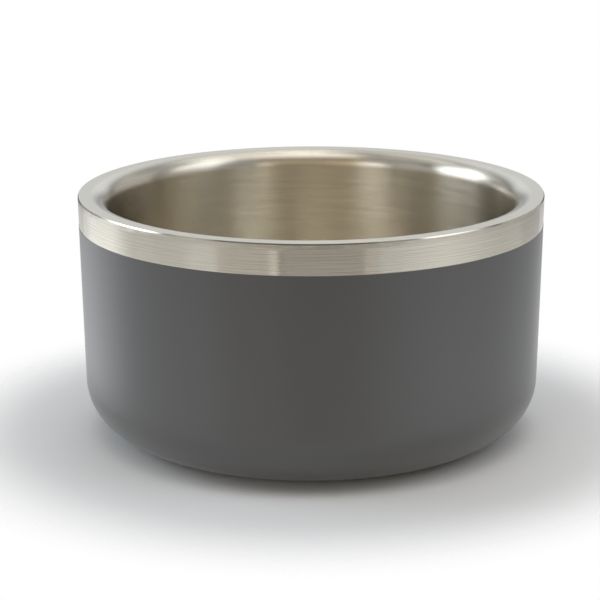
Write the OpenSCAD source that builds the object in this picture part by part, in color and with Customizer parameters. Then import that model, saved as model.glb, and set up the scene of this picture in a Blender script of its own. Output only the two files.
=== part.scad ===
// Double-wall insulated steel bowl: a deep-drawn inner bowl hung by its flange in a powder-coated
// outer shell, a vacuum between them, and a rubber ring under the base.
// Every piece is turned about +Z. The origin is the centre of the base, on the table.

/* [Bowl] */
// Diameter over the outer edge of the rim
bowl_d = 200; // [180:5:240]
// Height of the rim above the table
bowl_h = 105; // [85:5:130]
// Lean of the outer wall out of upright, in degrees
wall_lean = 1; // [0:0.5:3]
// Radius of the rounded foot of the outer wall
foot_r = 23; // [16:1:26]
// Thickness of the steel sheet
sheet_t = 0.8; // [0.6:0.1:1.2]
// Thickness of the powder coat
coat_t = 0.12; // [0.06:0.02:0.3]

/* [Rim] */
// Width of the rim, from its outer edge in to the throat
rim_w = 12.4; // [10:0.2:15]
// Radius of the lip that rolls from the rim down into the bowl
lip_r = 7.4; // [4:0.2:8]
// Height of the bare steel band between the rim and the powder coat
band_h = 12.8; // [6:0.2:30]
// Height of the bevel ground on the welded outer corner of the rim
bevel_h = 0.6; // [0.3:0.05:0.7]
// Lean of the bevel out of upright, in degrees
bevel_lean = 27; // [15:1:45]

/* [Inner bowl] */
// Lean of the inner wall out of upright, in degrees
inner_lean = 1; // [0:0.5:3]
// Radius between the inner wall and the floor
floor_r = 24; // [14:1:30]
// Height of the vacuum space between the floor and the base
floor_gap = 8; // [6.5:0.5:14]

/* [Base] */
// Width of the flat land around the rubber ring's groove
land_w = 3; // [2:0.5:4]
// Depth of the groove pressed for the rubber ring
groove_depth = 1.6; // [1:0.1:2.4]
// Width of the rib between the groove and the base disc
rib_w = 3; // [2:0.5:4]
// Depth of the panel pressed for the base disc
panel_depth = 1.2; // [1:0.1:2]
// Thickness of the base disc
disc_t = 0.5; // [0.3:0.1:0.8]
// Inside radius of the small bends pressed in the base
bend_r = 0.5; // [0.3:0.1:0.7]

/* [Rubber ring] */
// Width of the ring
ring_w = 14; // [12:1:16]
// Thickness of the ring
ring_t = 2.9; // [2.7:0.1:4]
// Number of tread grooves in the ring's underside
treads = 3; // [1:1:4]
// Width of a tread groove
tread_w = 1.2; // [0.8:0.1:1.4]
// Depth of a tread groove
tread_depth = 0.8; // [0.4:0.1:1.2]
// Radius of the ring's lower edges
ring_edge_r = 0.7; // [0.3:0.1:1]

/* [Vacuum parts] */
// Radius of the evacuation hole
evac_r = 1; // [0.6:0.1:1.6]
// Radius of the dimple round the evacuation hole
dimple_r = 8; // [7:0.5:10]
// Depth of the dimple
dimple_depth = 1.5; // [1:0.1:2]
// Thickness of the foil that shields the inner wall
foil_t = 0.1; // [0.05:0.01:0.2]
// Outer radius of the getter's holder
holder_r = 6; // [5:0.5:7]
// Height of the getter's holder
holder_h = 4; // [4:0.5:6]
// Thickness of the holder's sheet
holder_t = 0.4; // [0.2:0.1:0.5]
// Thickness of the getter pellet
pellet_t = 2.2; // [1:0.1:2.4]

/* [Hidden] */
$fn = 180;
arc_step = 5;              // degrees between the points of an arc
right_angle = 90;
press_angle = 45;          // flanks pressed in the base
bevel_share = 0.85;        // the rim's bevel takes at most this share of the sheet
bevel_edge_r = 0.2;        // edges of the rim's bevel
glue_t = 0.2;              // glue film over the rubber ring and over the base disc
ring_clearance = 0.3;      // each side of the rubber ring in its groove
glue_inset = 0.8;          // the glue films stop this far short of what they hold
disc_clearance = 0.5;      // round the base disc in its panel
disc_edge_r = 0.15;        // broken edge of the base disc
ring_top_r = 0.5;          // upper edges of the rubber ring
tread_edge_r = 0.2;        // edges of the tread grooves
bead_h = 0.9;              // height of the solder bead in the dimple
bead_inset = 0.4;          // the bead stops this far short of the dimple's bend
foil_inset = 2;            // the foil stops this far short of the lip and the floor radius
holder_lip_w = 1;          // width of the holder's turned-in lip
holder_bend_r = 0.3;       // inside radius of the holder's bends
pellet_clearance = 0.2;    // round the getter pellet in its holder
pellet_edge_r = 0.3;       // edges of the pressed pellet

rim_r = bowl_d / 2;
weld_z = bowl_h - sheet_t;                                   // the flange's underside and the shell's edge
coat_z = bowl_h - band_h;                                    // the upper edge of the powder coat
foot_gap = ring_t + glue_t - groove_depth;                   // the steel base stands this far off the table
groove_z = foot_gap + groove_depth;
panel_z = foot_gap + panel_depth;
dimple_z = panel_z + dimple_depth;
floor_z = panel_z + floor_gap + 2 * sheet_t;

function wall_r(z) = rim_r - (bowl_h - z) * tan(wall_lean);  // outer face of the outer wall
function shell_r(z) = wall_r(z) - sheet_t / cos(wall_lean);  // inner face of the outer wall
throat_r = rim_r - rim_w;
function bowl_r(z) = throat_r - (bowl_h - z) * tan(inner_lean);     // inner face of the inner wall
function cavity_r(z) = bowl_r(z) + sheet_t / cos(inner_lean);       // outer face of the inner wall

press_set = tan(press_angle / 2);                            // length that a small bend takes, per unit radius
land_out_r = wall_r(foot_gap) - foot_r * tan((right_angle - wall_lean) / 2);
land_in_r = land_out_r - land_w;
groove_out_r = land_in_r - groove_depth / tan(press_angle);
ring_out_r = groove_out_r - ring_clearance;
ring_in_r = ring_out_r - ring_w;
groove_in_r = ring_in_r - ring_clearance;
rib_out_r = groove_in_r - groove_depth / tan(press_angle);
rib_in_r = rib_out_r - rib_w;
panel_r = rib_in_r - panel_depth / tan(press_angle);
disc_r = panel_r - disc_clearance;
dimple_in_r = dimple_r - dimple_depth / tan(press_angle);
getter_at = (dimple_r + panel_r) / 2;                        // the getter sits halfway out across the panel

// A path is a list of corners [r, z, inside bend radius]; its first and last corners have no bend.
function place(corner) = [corner[0], corner[1]];
function unit(v) = v / norm(v);
function left_of(v) = [-v[1], v[0]];
function heading(path, i) = unit(place(path[i + 1]) - place(path[i]));
function turn(path, i) = sign(left_of(heading(path, i - 1)) * heading(path, i));

// A sheet's end is cut level on a wall, and plumb on a floor or a flange.
function end_shift(along, d) = abs(along[1]) > abs(along[0]) ? [-d / along[1], 0] : [0, d / along[0]];
function corner_shift(a, b, d) = d * (left_of(a) + left_of(b)) / (1 + a * b);
function shifted(path, i, d) =
    place(path[i]) + (
        i == 0 ? end_shift(heading(path, 0), d)
        : i == len(path) - 1 ? end_shift(heading(path, i - 1), d)
        : corner_shift(heading(path, i - 1), heading(path, i), d)
    );

// The points of an arc of radius r that rounds the corner b between a and c.
function rounded_corner(a, b, c, r, side) =
    r <= 0 ? [b] : let (
        u = unit(a - b),
        v = unit(c - b),
        half = acos(u * v) / 2,
        centre = b + unit(u + v) * r / sin(half),
        from = b + u * r / tan(half) - centre,
        start = atan2(from[1], from[0]),
        sweep = side * 2 * (right_angle - half),
        steps = ceil(abs(sweep) / arc_step)
    ) [for (k = [0:steps]) centre + r * [cos(start + sweep * k / steps), sin(start + sweep * k / steps)]];

// One face of a sheet of thickness t that lies to the left of the path, or to its right if t is negative.
function sheet_face(path, t, d) = [
    for (i = [0:len(path) - 1])
        each i == 0 || i == len(path) - 1 ? [shifted(path, i, d)]
            : rounded_corner(
                shifted(path, i - 1, d), shifted(path, i, d), shifted(path, i + 1, d),
                path[i][2] + max(0, turn(path, i) * t) - turn(path, i) * d, turn(path, i)
            )
];
function backwards(list) = [for (i = [len(list) - 1:-1:0]) list[i]];
function sheet_section(path, t) = concat(sheet_face(path, t, 0), backwards(sheet_face(path, t, t)));

// A solid section: a closed path that starts and ends at the same plain point.
function solid_section(path) = sheet_face(path, 0, 0);

module turned(section) rotate_extrude() polygon(section);

// Drawn cup with a rounded floor, a leaning wall and a lip rolled out to a flat flange.
module inner_bowl() {
    path = [
        [0, floor_z],
        [bowl_r(floor_z), floor_z, floor_r],
        [throat_r, bowl_h, lip_r - sheet_t],
        [shell_r(weld_z), bowl_h]
    ];
    color("silver") turned(sheet_section(path, -sheet_t));
}

// Drawn cup with a rounded foot and a pressed base: dimple, panel, rib, ring groove and land.
module outer_shell() {
    path = [
        [evac_r, dimple_z],
        [dimple_in_r, dimple_z, bend_r],
        [dimple_r, panel_z, bend_r],
        [panel_r, panel_z, bend_r],
        [rib_in_r, foot_gap, bend_r],
        [rib_out_r, foot_gap, bend_r],
        [groove_in_r, groove_z, bend_r],
        [groove_out_r, groove_z, bend_r],
        [land_in_r, foot_gap, bend_r],
        [wall_r(foot_gap), foot_gap, foot_r - sheet_t],
        [wall_r(weld_z), weld_z]
    ];
    color("lightgrey") turned(sheet_section(path, sheet_t));
}

// Weld that fills the open corner between the flange and the shell, ground flush and bevelled.
module rim_weld() {
    start = [(shell_r(weld_z) + wall_r(weld_z)) / 2, weld_z];
    high = min(bevel_h, bevel_share * sheet_t);
    path = [
        start,
        [wall_r(weld_z), weld_z, 0],
        [wall_r(bowl_h - high), bowl_h - high, bevel_edge_r],
        [wall_r(bowl_h - high) - high * tan(bevel_lean), bowl_h, bevel_edge_r],
        [shell_r(weld_z), bowl_h, 0],
        [shell_r(weld_z), weld_z, 0],
        start
    ];
    color("gainsboro") turned(solid_section(path));
}

// Skin from the ring groove's land, round the foot and up to the bare band.
module powder_coat() {
    path = [
        [land_in_r + (bend_r + sheet_t) * press_set, foot_gap],
        [wall_r(foot_gap), foot_gap, foot_r],
        [wall_r(coat_z), coat_z]
    ];
    color("dimgrey") turned(sheet_section(path, -coat_t));
}

// Foil wrapped on the vacuum side of the inner wall.
module radiation_foil() {
    low_z = floor_z + floor_r + foil_inset;
    high_z = bowl_h - lip_r - foil_inset;
    path = [[cavity_r(low_z), low_z], [cavity_r(high_z), high_z]];
    color("gainsboro") turned(sheet_section(path, -foil_t));
}

// Stamped cup on the vacuum side of the base, its edge turned in over the getter pellet.
module getter_holder() {
    low_z = panel_z + sheet_t;
    path = [
        [0, low_z],
        [holder_r, low_z, holder_bend_r],
        [holder_r, low_z + holder_h, holder_bend_r],
        [holder_r - holder_lip_w - holder_t, low_z + holder_h]
    ];
    color("silver") translate([getter_at, 0, 0]) turned(sheet_section(path, holder_t));
}

// Pressed pellet that takes up stray gas.
module getter_pellet() {
    low_z = panel_z + sheet_t + holder_t;
    pellet_r = holder_r - holder_t - pellet_clearance;
    path = [
        [0, low_z],
        [pellet_r, low_z, pellet_edge_r],
        [pellet_r, low_z + pellet_t, pellet_edge_r],
        [0, low_z + pellet_t, 0],
        [0, low_z]
    ];
    color("slategrey") translate([getter_at, 0, 0]) turned(solid_section(path));
}

// Glass solder melted into the dimple and the evacuation hole.
module seal_bead() {
    bead_r = dimple_in_r - bend_r * press_set - bead_inset;
    path = [
        [0, dimple_z + sheet_t],
        [evac_r, dimple_z + sheet_t, 0],
        [evac_r, dimple_z, 0],
        [bead_r, dimple_z, 0],
        [bead_r, dimple_z - bead_h, bead_h / 2],
        [0, dimple_z - bead_h, 0],
        [0, dimple_z + sheet_t]
    ];
    color("darkslategrey") turned(solid_section(path));
}

// Flat disc that hides the dimple.
module base_disc() {
    high_z = panel_z - glue_t;
    path = [
        [0, high_z],
        [0, high_z - disc_t, 0],
        [disc_r, high_z - disc_t, disc_edge_r],
        [disc_r, high_z, 0],
        [0, high_z]
    ];
    color("silver") turned(solid_section(path));
}

// Film of glue over the base disc, open round the dimple.
module disc_glue() {
    path = [[dimple_r + glue_inset, panel_z - glue_t], [disc_r - glue_inset, panel_z - glue_t]];
    color("beige") turned(sheet_section(path, glue_t));
}

// Ring that the bowl stands on, with tread grooves in its underside.
module rubber_ring() {
    middle = (ring_out_r + ring_in_r) / 2;
    pitch = ring_w / (treads + 1);
    tread_at = [for (k = [1:treads]) ring_out_r - k * pitch];
    path = [
        [middle, ring_t],
        [ring_out_r, ring_t, ring_top_r],
        [ring_out_r, 0, ring_edge_r],
        each [
            for (r = tread_at)
                each [
                    [r + tread_w / 2, 0, tread_edge_r],
                    [r + tread_w / 2, tread_depth, tread_edge_r],
                    [r - tread_w / 2, tread_depth, tread_edge_r],
                    [r - tread_w / 2, 0, tread_edge_r]
                ]
        ],
        [ring_in_r, 0, ring_edge_r],
        [ring_in_r, ring_t, ring_top_r],
        [middle, ring_t]
    ];
    color("black") turned(solid_section(path));
}

// Film of glue between the rubber ring and the groove.
module ring_glue() {
    path = [[ring_in_r + glue_inset, ring_t], [ring_out_r - glue_inset, ring_t]];
    color("beige") turned(sheet_section(path, glue_t));
}

inner_bowl();
outer_shell();
rim_weld();
powder_coat();
radiation_foil();
getter_holder();
getter_pellet();
seal_bead();
base_disc();
disc_glue();
rubber_ring();
ring_glue();
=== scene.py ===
"""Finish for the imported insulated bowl: turned and brushed stainless steel, powder coat and rubber."""

import math

import bmesh
import bpy
from bpy.props import FloatProperty, FloatVectorProperty, IntProperty, PointerProperty, StringProperty
from bpy.types import Operator, Panel, PropertyGroup
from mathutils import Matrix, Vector


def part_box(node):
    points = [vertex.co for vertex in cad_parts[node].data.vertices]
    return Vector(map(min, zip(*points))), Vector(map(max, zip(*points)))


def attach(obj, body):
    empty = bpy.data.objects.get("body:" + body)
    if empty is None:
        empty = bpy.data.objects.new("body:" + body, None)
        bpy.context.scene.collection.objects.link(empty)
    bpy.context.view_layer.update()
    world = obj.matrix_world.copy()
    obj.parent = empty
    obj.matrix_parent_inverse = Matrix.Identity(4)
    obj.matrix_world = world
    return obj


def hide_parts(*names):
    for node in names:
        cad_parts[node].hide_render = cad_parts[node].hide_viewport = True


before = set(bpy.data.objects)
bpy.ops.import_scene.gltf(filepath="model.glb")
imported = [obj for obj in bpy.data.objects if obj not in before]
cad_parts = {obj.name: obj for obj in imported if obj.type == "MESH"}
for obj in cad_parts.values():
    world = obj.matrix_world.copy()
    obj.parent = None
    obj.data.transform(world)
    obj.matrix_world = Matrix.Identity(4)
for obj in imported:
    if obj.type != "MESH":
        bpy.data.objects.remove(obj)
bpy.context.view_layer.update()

bl_info = {
    "name": "Insulated Bowl",
    "version": (1, 0, 0),
    "blender": (4, 5, 0),
    "location": "View3D > Sidebar > Bowl",
    "description": "Builds the visible pieces of a double-wall bowl, their finishes and a light tent",
    "category": "Object",
}

MM = 0.001
BODY = "root"
PHOTO_WIDTH = 600
SENSOR_WIDTH = 36.0  # millimetres, as Blender gives a lens


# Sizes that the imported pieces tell

RIM_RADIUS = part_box("rim_weld")[1].x
RIM_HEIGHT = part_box("rim_weld")[1].z
COAT_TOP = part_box("powder_coat")[1].z
FOOT_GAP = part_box("outer_shell")[0].z
RING_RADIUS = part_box("rubber_ring")[1].x
RING_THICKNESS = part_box("rubber_ring")[1].z
DISC_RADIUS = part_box("base_disc")[1].x
DISC_LOW, DISC_HIGH = (corner.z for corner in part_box("base_disc"))
INNER_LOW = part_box("inner_bowl")[0].z


class BowlSizes(PropertyGroup):
    """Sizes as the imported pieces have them, but for the bevel's edges, which are crisper here"""

    sheet: FloatProperty(
        name="Sheet", description="Thickness of the steel sheet",
        default=0.8 * MM, unit="LENGTH", precision=5,
    )
    wall_lean: FloatProperty(
        name="Wall lean", description="Lean of the outer wall",
        default=math.radians(1), subtype="ANGLE",
    )
    inner_lean: FloatProperty(
        name="Inner lean", description="Lean of the inner wall",
        default=math.radians(1), subtype="ANGLE",
    )
    foot_radius: FloatProperty(
        name="Foot radius", description="Radius of the rounded foot",
        default=23 * MM, unit="LENGTH",
    )
    floor_radius: FloatProperty(
        name="Floor radius", description="Radius between the inner wall and the floor",
        default=24 * MM, unit="LENGTH",
    )
    rim_width: FloatProperty(
        name="Rim width", description="From the rim's outer edge in to the throat",
        default=12.4 * MM, unit="LENGTH",
    )
    lip_radius: FloatProperty(
        name="Lip radius", description="Radius of the lip that rolls into the bowl",
        default=7.4 * MM, unit="LENGTH",
    )
    bevel_height: FloatProperty(
        name="Bevel height", description="Height of the bevel ground on the welded corner",
        default=0.6 * MM, unit="LENGTH",
    )
    bevel_lean: FloatProperty(
        name="Bevel lean", description="Lean of the bevel",
        default=math.radians(27), subtype="ANGLE",
    )
    bevel_edge: FloatProperty(
        name="Bevel edge", description="Radius of the bevel's edges",
        default=0.1 * MM, unit="LENGTH",
    )
    bend_radius: FloatProperty(
        name="Bend radius", description="Inside radius of the base's pressed bends",
        default=0.5 * MM, unit="LENGTH",
    )
    land_width: FloatProperty(
        name="Land width", description="Flat land outside the ring's groove",
        default=3 * MM, unit="LENGTH",
    )
    groove_depth: FloatProperty(
        name="Groove depth", description="Depth of the ring's groove",
        default=1.6 * MM, unit="LENGTH",
    )
    panel_depth: FloatProperty(
        name="Panel depth", description="Depth of the disc's panel",
        default=1.2 * MM, unit="LENGTH",
    )
    dimple_radius: FloatProperty(
        name="Dimple radius", description="Radius of the evacuation dimple",
        default=8 * MM, unit="LENGTH",
    )
    dimple_depth: FloatProperty(
        name="Dimple depth", description="Depth of the evacuation dimple",
        default=1.5 * MM, unit="LENGTH",
    )
    hole_radius: FloatProperty(
        name="Hole radius", description="Radius of the evacuation hole",
        default=1 * MM, unit="LENGTH",
    )
    ring_clearance: FloatProperty(
        name="Ring clearance", description="Gap each side of the ring in its groove",
        default=0.3 * MM, unit="LENGTH",
    )
    disc_clearance: FloatProperty(
        name="Disc clearance", description="Gap round the disc in its panel",
        default=0.5 * MM, unit="LENGTH",
    )
    disc_edge: FloatProperty(
        name="Disc edge", description="Radius of the disc's broken edge",
        default=0.15 * MM, unit="LENGTH",
    )
    coat: FloatProperty(
        name="Coat", description="Thickness of the powder coat",
        default=0.12 * MM, unit="LENGTH", precision=5,
    )
    ring_width: FloatProperty(
        name="Ring width", description="Width of the rubber ring",
        default=14 * MM, unit="LENGTH",
    )
    ring_edge: FloatProperty(
        name="Ring edge", description="Radius of the ring's lower edges",
        default=0.7 * MM, unit="LENGTH",
    )
    ring_top_edge: FloatProperty(
        name="Ring top edge", description="Radius of the ring's upper edges",
        default=0.5 * MM, unit="LENGTH",
    )
    treads: IntProperty(
        name="Treads", description="Number of tread grooves in the ring",
        default=3, min=1,
    )
    tread_width: FloatProperty(
        name="Tread width", description="Width of a tread groove",
        default=1.2 * MM, unit="LENGTH",
    )
    tread_depth: FloatProperty(
        name="Tread depth", description="Depth of a tread groove",
        default=0.8 * MM, unit="LENGTH",
    )
    tread_edge: FloatProperty(
        name="Tread edge", description="Radius of a tread groove's edges",
        default=0.2 * MM, unit="LENGTH",
    )


class BowlFinish(PropertyGroup):
    """Colours as sRGB hex values, and the size of each finish's pattern"""

    steel: StringProperty(
        name="Steel", description="Stainless steel's reflection colour",
        default="#D9D2C3",
    )
    coat: StringProperty(
        name="Coat", description="Powder coat's colour",
        default="#5C5C5C",
    )
    rubber: StringProperty(
        name="Rubber", description="Rubber ring's colour",
        default="#242424",
    )
    foil: StringProperty(
        name="Foil", description="Aluminium foil's reflection colour",
        default="#E3E4E6",
    )
    getter: StringProperty(
        name="Getter", description="Getter pellet's colour",
        default="#55524E",
    )
    solder_glass: StringProperty(
        name="Solder glass", description="Sealing glass's colour",
        default="#3A4638",
    )
    adhesive: StringProperty(
        name="Adhesive", description="Cured adhesive's colour",
        default="#D9D4C4",
    )

    # Real turning, brushing and rolling lines and a coat's grain are 0.1 to 0.2 mm apart, too fine to
    # show, so they are as coarse here as they need to be. The other patterns have their real sizes
    line_length: FloatProperty(
        name="Line length", description="Length of a turning or brushing line",
        default=30 * MM, unit="LENGTH",
    )
    line_pitch: FloatProperty(
        name="Line pitch", description="Spacing of the turning lines",
        default=0.45 * MM, unit="LENGTH",
    )
    brush_pitch: FloatProperty(
        name="Brush pitch", description="Spacing of the brushing lines",
        default=1.4 * MM, unit="LENGTH",
    )
    chatter_pitch: FloatProperty(
        name="Chatter pitch", description="Spacing of the grinding belt's slanting marks",
        default=1.3 * MM, unit="LENGTH",
    )
    chatter_depth: FloatProperty(
        name="Chatter depth", description="How far below the rim those marks reach",
        default=3 * MM, unit="LENGTH",
    )
    grain: FloatProperty(
        name="Grain", description="Size of the powder coat's grain",
        default=0.6 * MM, unit="LENGTH",
    )
    roll_pitch: FloatProperty(
        name="Roll pitch", description="Spacing of the rolling mill's lines",
        default=0.5 * MM, unit="LENGTH",
    )
    foil_crease: FloatProperty(
        name="Foil crease", description="Size of the foil's creases",
        default=4 * MM, unit="LENGTH",
    )
    pore: FloatProperty(
        name="Pore", description="Size of the getter pellet's pores",
        default=0.3 * MM, unit="LENGTH",
    )
    streak: FloatProperty(
        name="Streak", description="Size of the solder glass's streaks",
        default=1 * MM, unit="LENGTH",
    )
    ripple: FloatProperty(
        name="Ripple", description="Size of the adhesive's ripples",
        default=3 * MM, unit="LENGTH",
    )


class BowlStudio(PropertyGroup):
    """Camera"""

    camera_place: FloatVectorProperty(
        name="Camera place", description="Where the camera stands",
        default=(0.0, -0.8302, 0.2814), unit="LENGTH",
    )
    camera_pitch: FloatProperty(
        name="Camera pitch", description="How far the camera looks down",
        default=math.radians(15.21), subtype="ANGLE",
    )
    camera_roll: FloatProperty(
        name="Camera roll", description="How far the camera leans to its right",
        default=math.radians(0.15), subtype="ANGLE",
    )
    focal_pixels: FloatProperty(
        name="Focal length", description="Focal length in pixels of a 600 pixel wide picture",
        default=1966.5,
    )
    axis_pixel: FloatProperty(
        name="Axis pixel", description="Column of the picture that the bowl's axis lies in",
        default=311.35,
    )


# Profiles and meshes

ARC_STEP = math.radians(3)
RUN_STEP = 4 * MM  # straight runs are divided this finely, so that shading stays true beside an arc
TURN_SEGMENTS = 288
CREASE = math.radians(25)
FLAT = 0.01 * MM  # how near the rim's top a face counts as its flat
ON_AXIS = 1e-7  # a point nearer the axis than this lies on it
NO_TURN = 1e-9  # a path that turns less than this runs straight


def left_of(vector):
    """The vector, turned a quarter turn to its left."""
    return Vector((-vector.y, vector.x))


def place(corner):
    """Radius and height of a path's corner, without its bend radius."""
    return Vector(corner[:2])


def heading(path, index):
    """The way that a path runs on from a corner."""
    return (place(path[index + 1]) - place(path[index])).normalized()


def shifted(path, index, offset):
    """A path's corner moved to the line that lies offset to the path's left."""
    here = place(path[index])
    if 0 < index < len(path) - 1:
        before, after = heading(path, index - 1), heading(path, index)
        return here + offset * (left_of(before) + left_of(after)) / (1 + before.dot(after))
    along = heading(path, 0 if index == 0 else index - 1)
    if abs(along.y) > abs(along.x):
        return here + Vector((-offset / along.y, 0))
    return here + Vector((0, offset / along.x))


def rounded(before, corner, after, radius, side):
    """Points of the arc that rounds a corner."""
    if radius <= 0:
        return [corner]
    to_before, to_after = (before - corner).normalized(), (after - corner).normalized()
    half = to_before.angle(to_after) / 2
    centre = corner + (to_before + to_after).normalized() * radius / math.sin(half)
    start = corner + to_before * radius / math.tan(half) - centre
    start_angle = math.atan2(start.y, start.x)
    sweep = side * (math.pi - 2 * half)
    steps = math.ceil(abs(sweep) / ARC_STEP)
    angles = [start_angle + sweep * step / steps for step in range(steps + 1)]
    return [centre + radius * Vector((math.cos(angle), math.sin(angle))) for angle in angles]


def sheet_face(path, thickness, offset):
    """One face of a sheet whose path has corners of radius, height and inside bend radius."""
    points = []
    for index in range(len(path)):
        if index in (0, len(path) - 1):
            points.append(shifted(path, index, offset))
            continue
        cross = left_of(heading(path, index - 1)).dot(heading(path, index))
        side = math.copysign(1, cross) if abs(cross) > NO_TURN else 0
        radius = path[index][2] + max(0, side * thickness) - side * offset
        neighbours = [shifted(path, near, offset) for near in (index - 1, index, index + 1)]
        points += rounded(*neighbours, radius, side)
    return points


def sheet_section(path, thickness):
    """The closed section of a sheet that lies thickness to the path's left."""
    return sheet_face(path, thickness, 0) + sheet_face(path, thickness, thickness)[::-1]


def solid_section(path):
    """The closed section of a solid whose path ends where it starts."""
    return sheet_face(path, 0, 0)[:-1]


def divided(section):
    """The closed section with its long straight runs divided."""
    points = []
    for here, after in zip(section, section[1:] + section[:1]):
        steps = max(1, math.ceil((after - here).length / RUN_STEP))
        points += [here.lerp(after, step / steps) for step in range(steps)]
    return points


def turned_piece(name, section, materials, finish_of=lambda centre: 0):
    """Turns a closed section about the axis and links it as a new object."""
    mesh = bpy.data.meshes.new(name)
    build = bmesh.new()
    columns = []
    for point in divided(section):
        if point.x < ON_AXIS:
            columns.append([build.verts.new((0, 0, point.y))] * TURN_SEGMENTS)
            continue
        angles = [math.tau * turn / TURN_SEGMENTS for turn in range(TURN_SEGMENTS)]
        columns.append([
            build.verts.new((point.x * math.cos(angle), point.x * math.sin(angle), point.y))
            for angle in angles
        ])
    for low, high in zip(columns, columns[1:] + columns[:1]):
        for turn in range(TURN_SEGMENTS):
            following = (turn + 1) % TURN_SEGMENTS
            corners = dict.fromkeys([low[turn], low[following], high[following], high[turn]])
            if len(corners) > 2:
                build.faces.new(corners)
    bmesh.ops.recalc_face_normals(build, faces=build.faces)
    for face in build.faces:
        face.smooth = True
        face.material_index = finish_of(face.calc_center_median())
    for edge in build.edges:
        edge.smooth = edge.calc_face_angle(0) < CREASE
    build.to_mesh(mesh)
    build.free()
    for material in materials:
        mesh.materials.append(material)
    piece = bpy.data.objects.new(name, mesh)
    bpy.context.scene.collection.objects.link(piece)
    return piece


def dress(piece, node):
    """Puts a new piece in place of a packed one."""
    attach(piece, BODY)
    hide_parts(node)


# Materials

# Nearly all of a noise pattern lies between these two values
NOISE_LOW = 0.3
NOISE_HIGH = 0.7

QUARTER_TURN = 0.25  # turns the shader's smear across lines that run round the axis

# Heights of the band's lines and marks in millimetres, more than real, so that they show
LINE_HEIGHT = 0.028
CHATTER_HEIGHT = 0.05

FULL_SHARE = 0.3  # of their reach, down to which the band's marks keep their height
PATCH_LENGTH = 6 * MM  # the marks are strong in some patches and weak in others
PATCH_HEIGHT = 2 * MM
POLISH_SHARE = 0.3  # of the turning lines' pitch, which the polish leaves


def linear(hex_colour):
    """Linear RGBA of an sRGB hex colour."""
    channels = [int(hex_colour[start:start + 2], 16) / 255 for start in (1, 3, 5)]
    return (*(c / 12.92 if c <= 0.04045 else ((c + 0.055) / 1.055) ** 2.4 for c in channels), 1.0)


def add(tree, kind, sockets=None, **settings):
    """Adds a node, with its settings, and its inputs as values or as outputs of other nodes."""
    new = tree.nodes.new(kind)
    for name, value in settings.items():
        setattr(new, name, value)
    for socket, value in (sockets or {}).items():
        if isinstance(value, bpy.types.NodeSocket):
            tree.links.new(value, new.inputs[socket])
        else:
            new.inputs[socket].default_value = value
    return new


def new_material(name):
    """An empty material, its node tree and its surface socket."""
    material = bpy.data.materials.new(name)
    material.use_nodes = True
    tree = material.node_tree
    tree.nodes.clear()
    output = add(tree, "ShaderNodeOutputMaterial")
    return material, tree, output.inputs["Surface"]


def level_lines(tree, length, pitch, detail):
    """A pattern of lines that run round the axis, so long and, down the profile, a pitch apart."""
    place_of = add(tree, "ShaderNodeTexCoord").outputs["Object"]
    axes = add(tree, "ShaderNodeSeparateXYZ", {"Vector": place_of})
    flat = add(tree, "ShaderNodeCombineXYZ", {"X": axes.outputs["X"], "Y": axes.outputs["Y"]})
    radius = add(tree, "ShaderNodeVectorMath", {0: flat.outputs[0]}, operation="LENGTH")
    down = add(tree, "ShaderNodeMath", {
        0: radius.outputs["Value"], 1: axes.outputs["Z"],
    }, operation="ADD")
    whole = add(tree, "ShaderNodeCombineXYZ", {
        "X": axes.outputs["X"], "Y": axes.outputs["Y"], "Z": down.outputs[0],
    })
    scale = (1 / length, 1 / length, 1 / pitch)
    drawn = add(tree, "ShaderNodeVectorMath", {0: whole.outputs[0], 1: scale}, operation="MULTIPLY")
    lines = add(tree, "ShaderNodeTexNoise", {"Vector": drawn.outputs[0], "Scale": 1.0, "Detail": detail})
    return lines.outputs["Fac"]


def smeared(tree, amount):
    """Sockets of a shader that smears what it mirrors across lines that run round the axis."""
    tangent = add(tree, "ShaderNodeTangent", direction_type="RADIAL", axis="Z")
    return {"Anisotropic": amount, "Anisotropic Rotation": QUARTER_TURN, "Tangent": tangent.outputs[0]}


def lined_metal(tree, surface, lines, smoothest, roughest, sockets):
    """Links a metal shader to the surface. Its lines vary its roughness, and sockets hold the rest."""
    roughness = add(tree, "ShaderNodeMapRange", {
        "Value": lines, "From Min": NOISE_LOW, "From Max": NOISE_HIGH,
        "To Min": smoothest, "To Max": roughest,
    })
    shader = add(tree, "ShaderNodeBsdfPrincipled", {
        "Metallic": 1.0, "Roughness": roughness.outputs[0], **sockets,
    })
    tree.links.new(shader.outputs[0], surface)


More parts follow.
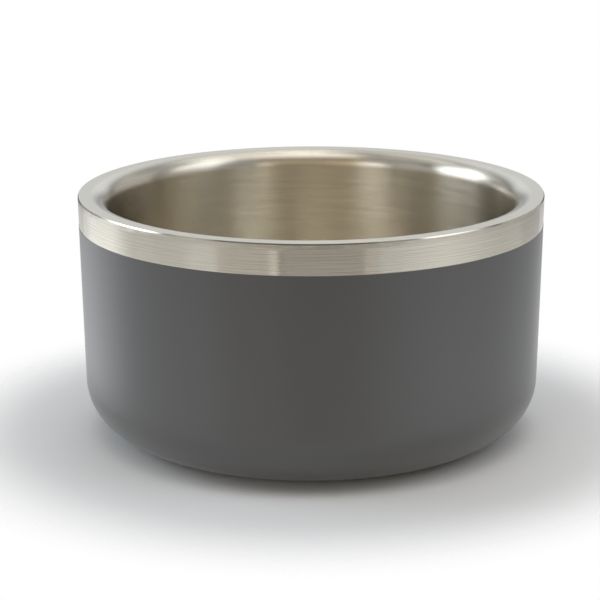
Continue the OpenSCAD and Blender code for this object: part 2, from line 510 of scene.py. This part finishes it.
def slanting_marks(tree, finish):
    """Height, in millimetres, of the short slanting marks that a grinding belt left under the rim."""
    place_of = add(tree, "ShaderNodeTexCoord").outputs["Object"]
    where = add(tree, "ShaderNodeSeparateXYZ", {"Vector": place_of})
    depth = add(tree, "ShaderNodeMath", {0: RIM_HEIGHT, 1: where.outputs["Z"]}, operation="SUBTRACT")
    turn = add(tree, "ShaderNodeMath", {
        0: where.outputs["Y"], 1: where.outputs["X"],
    }, operation="ARCTAN2")
    marks = round(math.tau * RIM_RADIUS / finish.chatter_pitch)
    fall = add(tree, "ShaderNodeMath", {
        0: depth.outputs[0], 1: -math.tau / finish.chatter_pitch,
    }, operation="MULTIPLY")
    phase = add(tree, "ShaderNodeMath", {
        0: turn.outputs[0], 1: float(marks), 2: fall.outputs[0],
    }, operation="MULTIPLY_ADD")
    wave = add(tree, "ShaderNodeMath", {0: phase.outputs[0]}, operation="SINE")
    fade = add(tree, "ShaderNodeMapRange", {
        "Value": depth.outputs[0],
        "From Min": FULL_SHARE * finish.chatter_depth, "From Max": finish.chatter_depth,
        "To Min": CHATTER_HEIGHT, "To Max": 0.0,
    })
    strength = add(tree, "ShaderNodeMapRange", {
        "Value": level_lines(tree, PATCH_LENGTH, PATCH_HEIGHT, 2.0),
        "From Min": 0.35, "From Max": 0.65, "To Min": 0.2, "To Max": 1.0,
    })
    patchy = add(tree, "ShaderNodeMath", {
        0: wave.outputs[0], 1: strength.outputs[0],
    }, operation="MULTIPLY")
    faded = add(tree, "ShaderNodeMath", {
        0: patchy.outputs[0], 1: fade.outputs[0],
    }, operation="MULTIPLY")
    return faded.outputs[0]


def turned_stainless(finish):
    """304 stainless steel, turned: nearly a mirror round the axis, smeared up and down by its lines."""
    material, tree, surface = new_material("turned_stainless")
    lines = level_lines(tree, finish.line_length, finish.line_pitch, 3.0)
    height = add(tree, "ShaderNodeMath", {
        0: lines, 1: LINE_HEIGHT, 2: slanting_marks(tree, finish),
    }, operation="MULTIPLY_ADD")
    bump = add(tree, "ShaderNodeBump", {"Height": height.outputs[0], "Strength": 1.0, "Distance": MM})
    lined_metal(tree, surface, lines, 0.11, 0.15, {
        "Base Color": linear(finish.steel), "Normal": bump.outputs[0], **smeared(tree, 1.0),
    })
    return material


def ground_stainless(finish):
    """304 stainless steel, ground flat on the rim: satin, smeared across the rim by its round lines."""
    material, tree, surface = new_material("ground_stainless")
    lines = level_lines(tree, finish.line_length, finish.line_pitch, 3.0)
    bump = add(tree, "ShaderNodeBump", {"Height": lines, "Strength": 1.0, "Distance": 0.003 * MM})
    lined_metal(tree, surface, lines, 0.28, 0.36, {
        "Base Color": linear(finish.steel), "Normal": bump.outputs[0], **smeared(tree, 0.7),
    })
    return material


def polished_stainless(finish):
    """304 stainless steel, polished on the ground bevel: one clean line, bright or dark all at once."""
    material, tree, surface = new_material("polished_stainless")
    lines = level_lines(tree, finish.line_length, POLISH_SHARE * finish.line_pitch, 2.0)
    lined_metal(tree, surface, lines, 0.12, 0.2, {
        "Base Color": linear(finish.steel), **smeared(tree, 0.8),
    })
    return material


def brushed_stainless(finish):
    """304 stainless steel, brushed round with a pad: soft upright bands and broken level strokes.

    The strokes are nearly too shallow to catch light, so the light and shade they would catch is painted
    into the steel's colour, a few percent lighter and darker along them."""
    material, tree, surface = new_material("brushed_stainless")
    lines = level_lines(tree, finish.line_length, finish.brush_pitch, 2.0)
    # Painted highlight and shade: the steel's colour runs from 4% darker to 3% lighter along the strokes,
    # standing in for their glints
    painted_glint_share = add(tree, "ShaderNodeMapRange", {
        "Value": lines, "From Min": NOISE_LOW, "From Max": NOISE_HIGH, "To Min": 0.96, "To Max": 1.03,
    })
    painted_glint_tone = add(tree, "ShaderNodeVectorMath", {
        0: linear(finish.steel)[:3], "Scale": painted_glint_share.outputs[0],
    }, operation="SCALE")
    bump = add(tree, "ShaderNodeBump", {"Height": lines, "Strength": 1.0, "Distance": 0.0015 * MM})
    lined_metal(tree, surface, lines, 0.25, 0.27, {
        "Base Color": painted_glint_tone.outputs[0], "Normal": bump.outputs[0], **smeared(tree, 0.95),
    })
    return material


def rolled_stainless(finish):
    """304 stainless steel, cold rolled to a 2B finish: dull silver with faint straight lines."""
    material, tree, surface = new_material("rolled_stainless")
    place_of = add(tree, "ShaderNodeTexCoord").outputs["Object"]
    scale = (1 / finish.line_length, 1 / finish.roll_pitch, 1 / finish.roll_pitch)
    along = add(tree, "ShaderNodeVectorMath", {0: place_of, 1: scale}, operation="MULTIPLY")
    pattern = add(tree, "ShaderNodeTexNoise", {"Vector": along.outputs[0], "Scale": 1.0, "Detail": 3.0})
    lines = pattern.outputs["Fac"]
    bump = add(tree, "ShaderNodeBump", {"Height": lines, "Strength": 1.0, "Distance": 0.01 * MM})
    lined_metal(tree, surface, lines, 0.28, 0.42, {
        "Base Color": linear(finish.steel), "Normal": bump.outputs[0],
    })
    return material


def powder_coat(finish):
    """Matt polyester powder coat, sprayed and baked: an even grey with a faint fine grain."""
    material, tree, surface = new_material("powder_coat")
    place_of = add(tree, "ShaderNodeTexCoord").outputs["Object"]
    grain = add(tree, "ShaderNodeTexNoise", {
        "Vector": place_of, "Scale": 1 / finish.grain, "Detail": 2.0,
    })
    bump = add(tree, "ShaderNodeBump", {
        "Height": grain.outputs["Fac"], "Strength": 1.0, "Distance": 0.006 * MM,
    })
    shader = add(tree, "ShaderNodeBsdfPrincipled", {
        "Base Color": linear(finish.coat), "Roughness": 0.3, "IOR": 1.6, "Sheen Weight": 0.2,
        "Sheen Roughness": 0.4, "Normal": bump.outputs[0],
    })
    tree.links.new(shader.outputs[0], surface)
    return material


def moulded_rubber(finish):
    """Black rubber, compression moulded: matt, with a fine moulded grain."""
    material, tree, surface = new_material("moulded_rubber")
    place_of = add(tree, "ShaderNodeTexCoord").outputs["Object"]
    grain = add(tree, "ShaderNodeTexNoise", {
        "Vector": place_of, "Scale": 1 / finish.grain, "Detail": 2.0,
    })
    bump = add(tree, "ShaderNodeBump", {
        "Height": grain.outputs["Fac"], "Strength": 1.0, "Distance": 0.02 * MM,
    })
    shader = add(tree, "ShaderNodeBsdfPrincipled", {
        "Base Color": linear(finish.rubber), "Roughness": 0.7, "Normal": bump.outputs[0],
    })
    tree.links.new(shader.outputs[0], surface)
    return material


def creased_foil(finish):
    """Household-grade aluminium foil, wound on by hand: bright, broken into small creased facets."""
    material, tree, surface = new_material("creased_foil")
    place_of = add(tree, "ShaderNodeTexCoord").outputs["Object"]
    creases = add(tree, "ShaderNodeTexVoronoi", {"Vector": place_of, "Scale": 1 / finish.foil_crease})
    bump = add(tree, "ShaderNodeBump", {"Height": creases.outputs["Distance"], "Distance": 0.3 * MM})
    shader = add(tree, "ShaderNodeBsdfPrincipled", {
        "Base Color": linear(finish.foil), "Metallic": 1.0, "Roughness": 0.22, "Normal": bump.outputs[0],
    })
    tree.links.new(shader.outputs[0], surface)
    return material


def pressed_getter(finish):
    """Sintered zirconium alloy powder, pressed into a pellet: dull dark grey and porous."""
    material, tree, surface = new_material("pressed_getter")
    place_of = add(tree, "ShaderNodeTexCoord").outputs["Object"]
    pores = add(tree, "ShaderNodeTexNoise", {"Vector": place_of, "Scale": 1 / finish.pore, "Detail": 4.0})
    bump = add(tree, "ShaderNodeBump", {"Height": pores.outputs["Fac"], "Distance": 0.08 * MM})
    shader = add(tree, "ShaderNodeBsdfPrincipled", {
        "Base Color": linear(finish.getter), "Roughness": 0.75, "Normal": bump.outputs[0],
    })
    tree.links.new(shader.outputs[0], surface)
    return material


def fused_solder_glass(finish):
    """Solder glass, melted over the evacuation hole: a dark glossy drop with a few streaks."""
    material, tree, surface = new_material("fused_solder_glass")
    place_of = add(tree, "ShaderNodeTexCoord").outputs["Object"]
    streaks = add(tree, "ShaderNodeTexNoise", {
        "Vector": place_of, "Scale": 1 / finish.streak, "Detail": 2.0, "Distortion": 1.0,
    })
    roughness = add(tree, "ShaderNodeMapRange", {
        "Value": streaks.outputs["Fac"], "To Min": 0.05, "To Max": 0.25,
    })
    shader = add(tree, "ShaderNodeBsdfPrincipled", {
        "Base Color": linear(finish.solder_glass), "Roughness": roughness.outputs[0], "IOR": 1.6,
    })
    tree.links.new(shader.outputs[0], surface)
    return material


def cured_adhesive(finish):
    """Two-part epoxy adhesive, spread thin and cured: off-white and slightly uneven."""
    material, tree, surface = new_material("cured_adhesive")
    place_of = add(tree, "ShaderNodeTexCoord").outputs["Object"]
    ripples = add(tree, "ShaderNodeTexNoise", {
        "Vector": place_of, "Scale": 1 / finish.ripple, "Detail": 2.0,
    })
    bump = add(tree, "ShaderNodeBump", {"Height": ripples.outputs["Fac"], "Distance": 0.05 * MM})
    shader = add(tree, "ShaderNodeBsdfPrincipled", {
        "Base Color": linear(finish.adhesive), "Roughness": 0.45, "Normal": bump.outputs[0],
    })
    tree.links.new(shader.outputs[0], surface)
    return material


def white_paper():
    """Uncoated white paper: matt. It fades out before its edge, so that it meets the white behind it."""
    material, tree, surface = new_material("white_paper")
    place_of = add(tree, "ShaderNodeTexCoord").outputs["Object"]
    radius = add(tree, "ShaderNodeVectorMath", {0: place_of}, operation="LENGTH")
    edge = add(tree, "ShaderNodeMapRange", {
        "Value": radius.outputs["Value"], "From Min": TABLE_FADE, "From Max": TABLE_RADIUS,
    }, interpolation_type="SMOOTHSTEP")
    paper = add(tree, "ShaderNodeBsdfDiffuse", {"Color": linear(PAPER)})
    clear = add(tree, "ShaderNodeBsdfTransparent")
    faded = add(tree, "ShaderNodeMixShader", {
        0: edge.outputs[0], 1: paper.outputs[0], 2: clear.outputs[0],
    })
    tree.links.new(faded.outputs[0], surface)
    return material


# Where the sheet runs

GROOVE_SLOPE = math.radians(45)  # of the pressed steps in the base


def wall_radius(sizes, height):
    """Outer radius of the outer wall at a height."""
    return RIM_RADIUS - (RIM_HEIGHT - height) * math.tan(sizes.wall_lean)


def shell_radius(sizes, height):
    """Inner radius of the outer wall at a height."""
    return wall_radius(sizes, height) - sizes.sheet / math.cos(sizes.wall_lean)


def inner_radius(sizes, height):
    """Radius of the inner wall's bare face at a height."""
    return RIM_RADIUS - sizes.rim_width - (RIM_HEIGHT - height) * math.tan(sizes.inner_lean)


def weld_height(sizes):
    """Height of the flange's underside, where the shell and the weld meet."""
    return RIM_HEIGHT - sizes.sheet


def land_edge(sizes):
    """Inner radius of the flat land round the ring's groove."""
    foot_width = sizes.foot_radius * math.tan((math.pi / 2 - sizes.wall_lean) / 2)
    return wall_radius(sizes, FOOT_GAP) - foot_width - sizes.land_width


class BOWL_OT_inner_bowl(Operator):
    """Make the inner bowl, brushed inside, with its lip and flat flange"""

    bl_idname = "bowl.inner_bowl"
    bl_label = "Inner Bowl"

    def execute(self, context):
        sizes, finish = context.scene.bowl_sizes, context.scene.bowl_finish
        floor = INNER_LOW + sizes.sheet
        path = [
            (0, floor),
            (inner_radius(sizes, floor), floor, sizes.floor_radius),
            (inner_radius(sizes, RIM_HEIGHT), RIM_HEIGHT, sizes.lip_radius - sizes.sheet),
            (shell_radius(sizes, weld_height(sizes)), RIM_HEIGHT),
        ]
        piece = turned_piece(
            "inner_bowl_brushed", sheet_section(path, -sizes.sheet),
            [brushed_stainless(finish), ground_stainless(finish)],
            lambda centre: int(centre.z > RIM_HEIGHT - FLAT),
        )
        dress(piece, "inner_bowl")
        return {"FINISHED"}


class BOWL_OT_outer_shell(Operator):
    """Make the outer shell, with its bare band and its pressed base"""

    bl_idname = "bowl.outer_shell"
    bl_label = "Outer Shell"

    def execute(self, context):
        sizes, finish = context.scene.bowl_sizes, context.scene.bowl_finish
        panel = FOOT_GAP + sizes.panel_depth
        groove = FOOT_GAP + sizes.groove_depth
        dimple = panel + sizes.dimple_depth
        panel_edge = DISC_RADIUS + sizes.disc_clearance
        groove_outer = RING_RADIUS + sizes.ring_clearance
        groove_inner = RING_RADIUS - sizes.ring_width - sizes.ring_clearance
        path = [
            (sizes.hole_radius, dimple),
            (sizes.dimple_radius - sizes.dimple_depth, dimple, sizes.bend_radius),
            (sizes.dimple_radius, panel, sizes.bend_radius),
            (panel_edge, panel, sizes.bend_radius),
            (panel_edge + sizes.panel_depth, FOOT_GAP, sizes.bend_radius),
            (groove_inner - sizes.groove_depth, FOOT_GAP, sizes.bend_radius),
            (groove_inner, groove, sizes.bend_radius),
            (groove_outer, groove, sizes.bend_radius),
            (groove_outer + sizes.groove_depth, FOOT_GAP, sizes.bend_radius),
            (wall_radius(sizes, FOOT_GAP), FOOT_GAP, sizes.foot_radius - sizes.sheet),
            (wall_radius(sizes, weld_height(sizes)), weld_height(sizes)),
        ]
        piece = turned_piece(
            "outer_shell_turned", sheet_section(path, sizes.sheet),
            [rolled_stainless(finish), turned_stainless(finish)],
            lambda centre: int(centre.z > COAT_TOP - RUN_STEP),
        )
        dress(piece, "outer_shell")
        return {"FINISHED"}


class BOWL_OT_rim_weld(Operator):
    """Make the weld on the rim's corner, with its ground bevel"""

    bl_idname = "bowl.rim_weld"
    bl_label = "Rim Weld"

    def execute(self, context):
        sizes, finish = context.scene.bowl_sizes, context.scene.bowl_finish
        low = weld_height(sizes)
        inside, outside = shell_radius(sizes, low), wall_radius(sizes, low)
        start = ((inside + outside) / 2, low)
        edge = wall_radius(sizes, RIM_HEIGHT - sizes.bevel_height)
        path = [
            start,
            (outside, low, 0),
            (edge, RIM_HEIGHT - sizes.bevel_height, sizes.bevel_edge),
            (edge - sizes.bevel_height * math.tan(sizes.bevel_lean), RIM_HEIGHT, sizes.bevel_edge),
            (inside, RIM_HEIGHT, 0),
            (inside, low, 0),
            start,
        ]
        piece = turned_piece(
            "rim_weld_ground", solid_section(path),
            [polished_stainless(finish), ground_stainless(finish)],
            lambda centre: int(centre.z > RIM_HEIGHT - FLAT),
        )
        dress(piece, "rim_weld")
        return {"FINISHED"}


class BOWL_OT_powder_coat(Operator):
    """Make the powder coat on the wall and the foot"""

    bl_idname = "bowl.powder_coat"
    bl_label = "Powder Coat"

    def execute(self, context):
        sizes, finish = context.scene.bowl_sizes, context.scene.bowl_finish
        bend = (sizes.bend_radius + sizes.sheet) * math.tan(GROOVE_SLOPE / 2)
        path = [
            (land_edge(sizes) + bend, FOOT_GAP),
            (wall_radius(sizes, FOOT_GAP), FOOT_GAP, sizes.foot_radius),
            (wall_radius(sizes, COAT_TOP), COAT_TOP),
        ]
        piece = turned_piece("powder_coat_baked", sheet_section(path, -sizes.coat), [powder_coat(finish)])
        dress(piece, "powder_coat")
        return {"FINISHED"}


class BOWL_OT_rubber_ring(Operator):
    """Make the rubber ring with its tread"""

    bl_idname = "bowl.rubber_ring"
    bl_label = "Rubber Ring"

    def execute(self, context):
        sizes, finish = context.scene.bowl_sizes, context.scene.bowl_finish
        outer, inner = RING_RADIUS, RING_RADIUS - sizes.ring_width
        start = ((outer + inner) / 2, RING_THICKNESS)
        path = [
            start,
            (outer, RING_THICKNESS, sizes.ring_top_edge),
            (outer, 0, sizes.ring_edge),
        ]
        for tread in range(sizes.treads):
            middle = outer - (tread + 1) * sizes.ring_width / (sizes.treads + 1)
            for radius, height in (
                (middle + sizes.tread_width / 2, 0),
                (middle + sizes.tread_width / 2, sizes.tread_depth),
                (middle - sizes.tread_width / 2, sizes.tread_depth),
                (middle - sizes.tread_width / 2, 0),
            ):
                path.append((radius, height, sizes.tread_edge))
        path += [
            (inner, 0, sizes.ring_edge),
            (inner, RING_THICKNESS, sizes.ring_top_edge),
            start,
        ]
        piece = turned_piece("rubber_ring_moulded", solid_section(path), [moulded_rubber(finish)])
        dress(piece, "rubber_ring")
        return {"FINISHED"}


class BOWL_OT_base_disc(Operator):
    """Make the flat disc that hides the evacuation dimple"""

    bl_idname = "bowl.base_disc"
    bl_label = "Base Disc"

    def execute(self, context):
        sizes, finish = context.scene.bowl_sizes, context.scene.bowl_finish
        path = [
            (0, DISC_HIGH),
            (0, DISC_LOW, 0),
            (DISC_RADIUS, DISC_LOW, sizes.disc_edge),
            (DISC_RADIUS, DISC_HIGH, 0),
            (0, DISC_HIGH),
        ]
        piece = turned_piece("base_disc_rolled", solid_section(path), [rolled_stainless(finish)])
        dress(piece, "base_disc")
        return {"FINISHED"}


class BOWL_OT_vacuum_parts(Operator):
    """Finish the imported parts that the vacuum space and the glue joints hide"""

    bl_idname = "bowl.vacuum_parts"
    bl_label = "Vacuum Parts"

    def execute(self, context):
        finish = context.scene.bowl_finish
        adhesive = cured_adhesive(finish)
        finishes = {
            "radiation_foil": creased_foil(finish),
            "getter_holder": rolled_stainless(finish),
            "getter_pellet": pressed_getter(finish),
            "seal_bead": fused_solder_glass(finish),
            "disc_glue": adhesive,
            "ring_glue": adhesive,
        }
        for node, material in finishes.items():
            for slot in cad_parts[node].material_slots:
                slot.material = material
        return {"FINISHED"}


# Studio

# Soft panels of the light tent as the bowl sees them: azimuth, 0 towards the camera and positive to its
# right, width, elevation, height and softness of the edges, all in degrees, then radiance and colour
PANELS = {
    "low_back": (180, 60, -27, 30, 4, 0.85, "#FFFFFF"),
    "low_left": (-98, 105, -27, 29, 1.2, 0.72, "#FAFDFF"),
    "low_left_back": (-126, 38, -27, 29, 12, 0.97, "#F1F7FF"),
    "low_left_front": (-54, 18, -27, 29, 6, 0.14, "#F1F7FF"),
    "low_front_left": (-33, 24.5, -27, 29, 1, 0.57, "#FFFDFA"),
    "low_streak": (-18, 5, -27, 29, 1, 0.82, "#FFFDFA"),
    "low_front": (5, 39, -27, 29, 1, 0.41, "#FFFDFA"),
    "low_front_right": (29, 8, -27, 29, 1, 0.56, "#FFFDFA"),
    "low_right": (79, 92, -27, 29, 1.2, 0.7, "#FAFDFF"),
    "low_right_back": (137, 24, -27, 29, 1.2, 0.58, "#FAFDFF"),
    "low_right_front": (68, 40, -27, 29, 20, 0.36, "#F1F7FF"),
    "lamp_left": (-107, 38, 27, 20, 7, 3.8, "#E7F3FF"),
    "left_back": (-134, 30, 18, 46, 4, 0.3, "#F5FAFF"),
    "left": (-97, 34, 12, 32, 4, 1.6, "#F1F7FF"),
    "left_front": (-65, 24, 18, 46, 2, 0.46, "#FFFFFF"),
    "card_left": (-38, 18, 16, 16, 8, 2.7, "#FFFFFF"),
    "card_right": (27.5, 9, 8, 24, 4, 0.72, "#FFFFFF"),
    "front_left": (-18, 14, 14, 24, 5, 0.22, "#FFE7BC"),
    "front": (0, 64, 19, 16, 4, 0.76, "#FFE7BC"),
    "right_front": (50, 36, 12, 34, 2, 0.2, "#F5FAFF"),
    "right": (82, 38, 12, 34, 4, 0.32, "#FFFFFF"),
    "right_back": (128, 44, 14, 36, 4, 0.45, "#FFFFFF"),
    "right_back_high": (125, 56, 46, 34, 10, 0.34, "#F5FAFF"),
    "left_back_high": (-128, 36, 38, 36, 8, 0.35, "#F5FAFF"),
    "back": (180, 44, 26, 36, 8, 0.92, "#F1F7FF"),
    "softbox_right": (79, 36, 42, 32, 4, 1.8, "#F5FAFF"),
    "right_high": (50, 28, 42, 22, 3, 0.28, "#F5FAFF"),
    "top_front": (0, 100, 65, 16, 4, 1.2, "#FFF0D8"),
    "top_left": (-95, 90, 60, 24, 5, 0.42, "#FFFFFF"),
    "top_right": (90, 80, 66, 18, 5, 1.15, "#FFFFFF"),
    "back_high": (180, 90, 58, 18, 5, 0.9, "#FFFFFF"),
    "top_back": (170, 56, 75, 18, 5, 1.7, "#FFFFFF"),
    "top": (0, 180, 82, 18, 3, 2.2, "#F1F7FF"),
}
ROOM = (0.1, "#FFFFFF")  # radiance and colour between the panels
BACKDROP = "#FFFFFF"
PAPER = "#F1F1F1"
TABLE_RADIUS = 180 * MM
TABLE_FADE = 120 * MM  # the paper fades from this radius out
TABLE_SEGMENTS = 96


def light_tent(tree):
    """The tent's light, as a colour for each direction."""
    way = add(tree, "ShaderNodeSeparateXYZ", {
        "Vector": add(tree, "ShaderNodeTexCoord").outputs["Generated"],
    })
    front = add(tree, "ShaderNodeMath", {0: way.outputs["Y"], 1: -1.0}, operation="MULTIPLY")
    azimuth = add(tree, "ShaderNodeMath", {0: way.outputs["X"], 1: front.outputs[0]}, operation="ARCTAN2")
    elevation = add(tree, "ShaderNodeMath", {0: way.outputs["Z"]}, operation="ARCSINE")
    total = [ROOM[0] * channel for channel in linear(ROOM[1])[:3]]
    for panel_azimuth, width, panel_elevation, height, softness, radiance, colour in PANELS.values():
        inside = []
        for angle, middle, extent in (
            (azimuth, panel_azimuth, width),
            (elevation, panel_elevation, height),
        ):
            offset = add(tree, "ShaderNodeMath", {
                0: angle.outputs[0], 1: math.radians(middle),
            }, operation="SUBTRACT")
            near = add(tree, "ShaderNodeMath", {
                0: offset.outputs[0], 1: math.pi, 2: -math.pi,
            }, operation="WRAP")
            away = add(tree, "ShaderNodeMath", {0: near.outputs[0]}, operation="ABSOLUTE")
            inside.append(add(tree, "ShaderNodeMapRange", {
                "Value": away.outputs[0], "From Min": math.radians(extent / 2 - softness),
                "From Max": math.radians(extent / 2 + softness), "To Min": 1.0, "To Max": 0.0,
            }, interpolation_type="SMOOTHSTEP").outputs[0])
        weight = add(tree, "ShaderNodeMath", {0: inside[0], 1: inside[1]}, operation="MULTIPLY")
        light = [radiance * channel for channel in linear(colour)[:3]]
        total = add(tree, "ShaderNodeVectorMath", {
            0: weight.outputs[0], 1: light, 2: total,
        }, operation="MULTIPLY_ADD").outputs[0]
    return total


def paper_table():
    """The round sheet of paper that the bowl stands on."""
    mesh = bpy.data.meshes.new("table")
    build = bmesh.new()
    bmesh.ops.create_circle(build, cap_ends=True, segments=TABLE_SEGMENTS, radius=TABLE_RADIUS)
    build.to_mesh(mesh)
    build.free()
    mesh.materials.append(white_paper())
    table = bpy.data.objects.new("table", mesh)
    bpy.context.scene.collection.objects.link(table)


def room():
    """A world that lights the bowl with the tent and shows the camera a plain backdrop."""
    world = bpy.data.worlds.new("room")
    world.use_nodes = True
    tree = world.node_tree
    tree.nodes.clear()
    seen = add(tree, "ShaderNodeLightPath").outputs["Is Camera Ray"]
    tent = add(tree, "ShaderNodeBackground", {"Color": light_tent(tree)})
    backdrop = add(tree, "ShaderNodeBackground", {"Color": linear(BACKDROP)})
    mixed = add(tree, "ShaderNodeMixShader", {0: seen, 1: tent.outputs[0], 2: backdrop.outputs[0]})
    add(tree, "ShaderNodeOutputWorld", {"Surface": mixed.outputs[0]})
    return world


def fitted_camera(studio):
    """The camera, as it was fitted to the photograph."""
    lens = bpy.data.cameras.new("camera")
    lens.sensor_width = SENSOR_WIDTH
    lens.lens = studio.focal_pixels * SENSOR_WIDTH / PHOTO_WIDTH
    lens.shift_x = (PHOTO_WIDTH / 2 - studio.axis_pixel) / PHOTO_WIDTH
    camera = bpy.data.objects.new("camera", lens)
    camera.location = studio.camera_place
    camera.rotation_mode = "ZXY"
    camera.rotation_euler = (math.pi / 2 - studio.camera_pitch, 0, -studio.camera_roll)
    bpy.context.scene.collection.objects.link(camera)
    return camera


class BOWL_OT_studio(Operator):
    """Make the paper table, the light tent and the camera"""

    bl_idname = "bowl.studio"
    bl_label = "Studio"

    def execute(self, context):
        paper_table()
        context.scene.world = room()
        context.scene.camera = fitted_camera(context.scene.bowl_studio)
        context.scene.view_settings.view_transform = "Standard"
        return {"FINISHED"}


OPERATORS = (
    BOWL_OT_inner_bowl, BOWL_OT_outer_shell, BOWL_OT_rim_weld, BOWL_OT_powder_coat,
    BOWL_OT_rubber_ring, BOWL_OT_base_disc, BOWL_OT_vacuum_parts, BOWL_OT_studio,
)
GROUPS = {"bowl_sizes": BowlSizes, "bowl_finish": BowlFinish, "bowl_studio": BowlStudio}


class BOWL_PT_panel(Panel):
    """Lists the bowl's pieces and their settings"""

    bl_idname = "BOWL_PT_panel"
    bl_label = "Insulated Bowl"
    bl_space_type = "VIEW_3D"
    bl_region_type = "UI"
    bl_category = "Bowl"

    def draw(self, context):
        for group in GROUPS:
            box = self.layout.box()
            for name in GROUPS[group].__annotations__:
                box.prop(getattr(context.scene, group), name)
        for operator in OPERATORS:
            self.layout.operator(operator.bl_idname)


def register():
    """Registers the classes, and the settings on the scene."""
    for cls in (*GROUPS.values(), *OPERATORS, BOWL_PT_panel):
        bpy.utils.register_class(cls)
    for name, group in GROUPS.items():
        setattr(bpy.types.Scene, name, PointerProperty(type=group))


def unregister():
    """Takes away what register adds."""
    for name in GROUPS:
        delattr(bpy.types.Scene, name)
    for cls in reversed((*GROUPS.values(), *OPERATORS, BOWL_PT_panel)):
        bpy.utils.unregister_class(cls)


def main():
    """Builds everything in order."""
    register()
    for operator in OPERATORS:
        family, name = operator.bl_idname.split(".")
        getattr(getattr(bpy.ops, family), name)()


if __name__ == "__main__":
    main()
